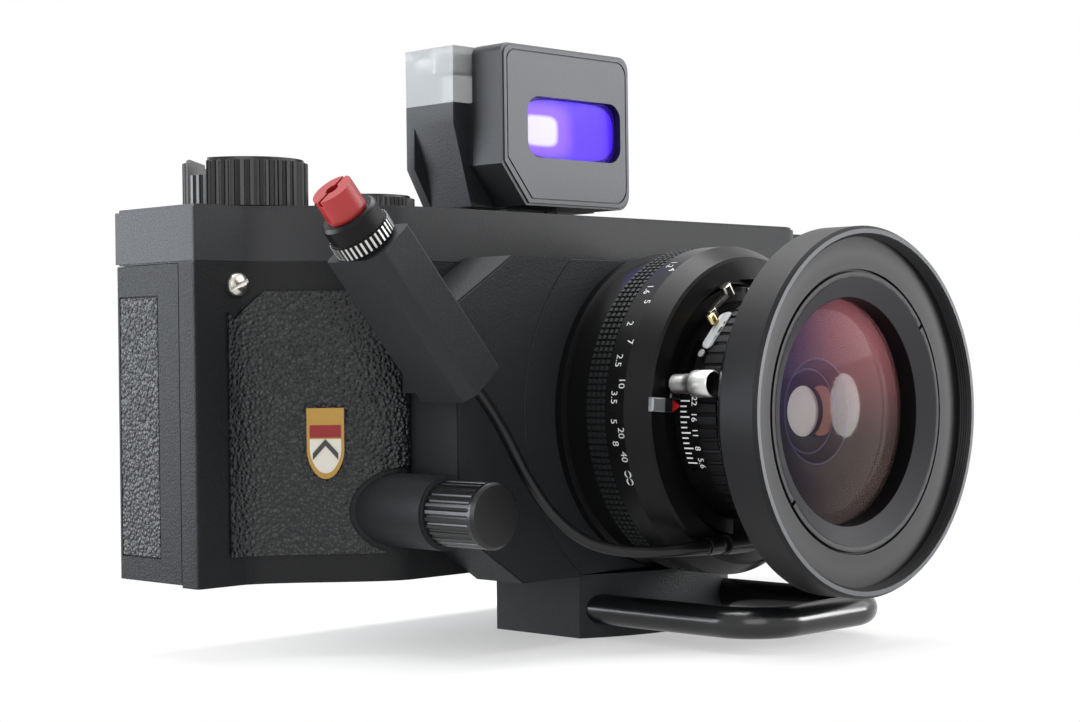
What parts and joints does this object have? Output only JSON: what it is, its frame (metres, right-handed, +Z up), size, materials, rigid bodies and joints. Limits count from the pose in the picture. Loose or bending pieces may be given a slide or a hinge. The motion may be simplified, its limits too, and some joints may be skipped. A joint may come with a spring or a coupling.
{
  "type": "panoramic camera",
  "caption": "Wide roll-film panoramic camera with a clamped lens panel, focusing wide-angle lens in a leaf shutter, slide-on finder, release grip with cable, hinged back and tripod foot.",
  "frame": {"origin": "mouth of the large tripod socket in the underside of the foot, straight below the lens axis", "axes": "+X along the body towards the hinge of the rear cover, +Y to the rear, away from the subject, +Z up"},
  "size_m": [0.2744, 0.1563, 0.1733],
  "materials": {
    "black_enamel": "matte black wrinkle enamel",
    "black_anodised": "satin black anodised",
    "leather_black": "pebbled black leather",
    "bright_metal": "polished nickel",
    "steel": "brushed",
    "rubber_black": "moulded rubber",
    "plastic_black": "moulded",
    "glass_coated": "coated optical glass",
    "acrylic_clear": "clear acrylic",
    "vial_green": "spirit vial",
    "red_anodised": "red anodised",
    "brass_enamel": "enamelled badge"
  },
  "bodies": {
    "camera": {"body_casting": "black_enamel", "top_cover": "black_enamel", "front_leather_left": "leather_black", "front_leather_right": "leather_black", "film_gate": "black_anodised", "strap_studs": "bright_metal", "accessory_shoe": "black_anodised", "hinge_pin": "steel", "supply_pins": "steel", "lens_panel": "black_enamel", "lens_flange": "black_enamel", "helicoid_barrel": "black_anodised", "grip_casting": "black_enamel", "foot_block": "black_enamel", "guard_bow": "black_enamel", "foot_screws": "steel", "front_badge": "brass_enamel", "release_cable": "rubber_black"},
    "rear_door": {"rear_cover": "black_enamel", "rear_leathers": "leather_black", "pressure_springs": "steel"},
    "pressure": {"pressure_plate": "black_anodised"},
    "latch": {"door_latch": "black_anodised"},
    "wind": {"wind_knob": "black_anodised", "wind_shaft": "steel", "take_up_spool": "plastic_black"},
    "supply": {"supply_spool": "plastic_black"},
    "roller_l": {"roller_left": "steel"},
    "roller_r": {"roller_right": "steel"},
    "counter": {"counter_dial": "black_anodised"},
    "finder": {"finder_block": "black_enamel", "finder_hood": "black_enamel", "finder_window": "glass_coated", "finder_eyepiece": "black_anodised", "finder_level": "acrylic_clear", "level_vial": "vial_green", "finder_foot": "black_anodised"},
    "focus": {"focus_ring": "black_anodised", "focus_grip": "rubber_black"},
    "lens": {"lens_carrier": "black_anodised", "shutter_body": "black_anodised", "cable_socket": "bright_metal", "sync_terminal": "bright_metal", "shutter_blades": "black_anodised", "front_barrel": "black_anodised", "front_ring": "black_anodised", "front_glass": "glass_coated", "rear_barrel": "black_anodised", "rear_glass": "glass_coated", "cable_tip": "bright_metal"},
    "speed": {"speed_ring": "black_anodised"},
    "aperture": {"aperture_lever": "bright_metal"},
    "cocking": {"cocking_lever": "bright_metal"},
    "release": {"release_lever": "bright_metal"},
    "clamp_left": {"clamp_knob_left": "black_anodised"},
    "clamp_right": {"clamp_knob_right": "black_anodised"},
    "collar": {"release_collar": "black_anodised"},
    "button": {"release_button": "red_anodised"}
  },
  "joints": [
    {"name": "door_hinge", "type": "hinge", "parent": "camera", "child": "rear_door", "pos_m": [0.1372, 0.026, 0.064], "axis": [0, 0, -1], "range_deg": [0, 100]},
    {"name": "latch_slide", "type": "slide", "parent": "rear_door", "child": "latch", "axis": [0, 0, 1], "range_m": [0, 0.008]},
    {"name": "plate_press", "type": "slide", "parent": "rear_door", "child": "pressure", "axis": [0, 1, 0], "range_m": [0, 0.0008], "stiffness_N_per_m": 1500, "springref_m": -0.001, "deforming": ["pressure_springs"]},
    {"name": "wind_turn", "type": "hinge", "parent": "camera", "child": "wind", "pos_m": [-0.106, 0.0355, 0.064], "axis": [0, 0, 1], "continuous": true},
    {"name": "supply_turn", "type": "hinge", "parent": "camera", "child": "supply", "pos_m": [0.106, 0.0355, 0.064], "axis": [0, 0, 1], "continuous": true},
    {"name": "roller_left_turn", "type": "hinge", "parent": "camera", "child": "roller_l", "pos_m": [-0.0893, 0.036, 0.064], "axis": [0, 0, 1], "continuous": true},
    {"name": "roller_right_turn", "type": "hinge", "parent": "camera", "child": "roller_r", "pos_m": [0.0893, 0.036, 0.064], "axis": [0, 0, 1], "continuous": true},
    {"name": "counter_turn", "type": "hinge", "parent": "camera", "child": "counter", "pos_m": [-0.0645, 0.0335, 0.1213], "axis": [0, 0, 1], "continuous": true},
    {"name": "finder_slide", "type": "slide", "parent": "camera", "child": "finder", "axis": [0, 1, 0], "range_m": [0, 0.04]},
    {"name": "focus_turn", "type": "hinge", "parent": "camera", "child": "focus", "pos_m": [0, -0.045, 0.064], "axis": [0, 1, 0], "range_deg": [0, 150]},
    {"name": "lens_extension", "type": "slide", "parent": "camera", "child": "lens", "axis": [0, -1, 0], "range_m": [0, 0.0055], "deforming": ["release_cable"]},
    {"name": "speed_turn", "type": "hinge", "parent": "lens", "child": "speed", "pos_m": [0, -0.067, 0.064], "axis": [0, 1, 0], "range_deg": [0, 200]},
    {"name": "aperture_turn", "type": "hinge", "parent": "lens", "child": "aperture", "pos_m": [0, -0.059, 0.064], "axis": [0, 1, 0], "range_deg": [-34, 20]},
    {"name": "cocking_turn", "type": "hinge", "parent": "lens", "child": "cocking", "pos_m": [-0.01801, -0.059, 0.08972], "axis": [0.5736, 0, -0.8192], "range_deg": [0, 50]},
    {"name": "release_turn", "type": "hinge", "parent": "lens", "child": "release", "pos_m": [-0.00219, -0.059, 0.09532], "axis": [0.0698, 0, -0.9976], "range_deg": [0, 35]},
    {"name": "clamp_left_turn", "type": "hinge", "parent": "camera", "child": "clamp_left", "pos_m": [-0.0865, -0.03, 0.039], "axis": [0, 1, 0], "continuous": true},
    {"name": "clamp_right_turn", "type": "hinge", "parent": "camera", "child": "clamp_right", "pos_m": [0.0865, -0.03, 0.039], "axis": [0, 1, 0], "continuous": true},
    {"name": "collar_turn", "type": "hinge", "parent": "camera", "child": "collar", "pos_m": [-0.0835, -0.026, 0.073], "axis": [-0.6561, 0, 0.7547], "continuous": true},
    {"name": "button_press", "type": "slide", "parent": "camera", "child": "button", "axis": [0.6561, 0, -0.7547], "range_m": [0, 0.003], "stiffness_N_per_m": 400, "springref_m": -0.001}
  ],
  "couplings": [
    {"joint": "lens_extension", "follows": "focus_turn", "m_per_rad": 0.0021006}
  ]
}
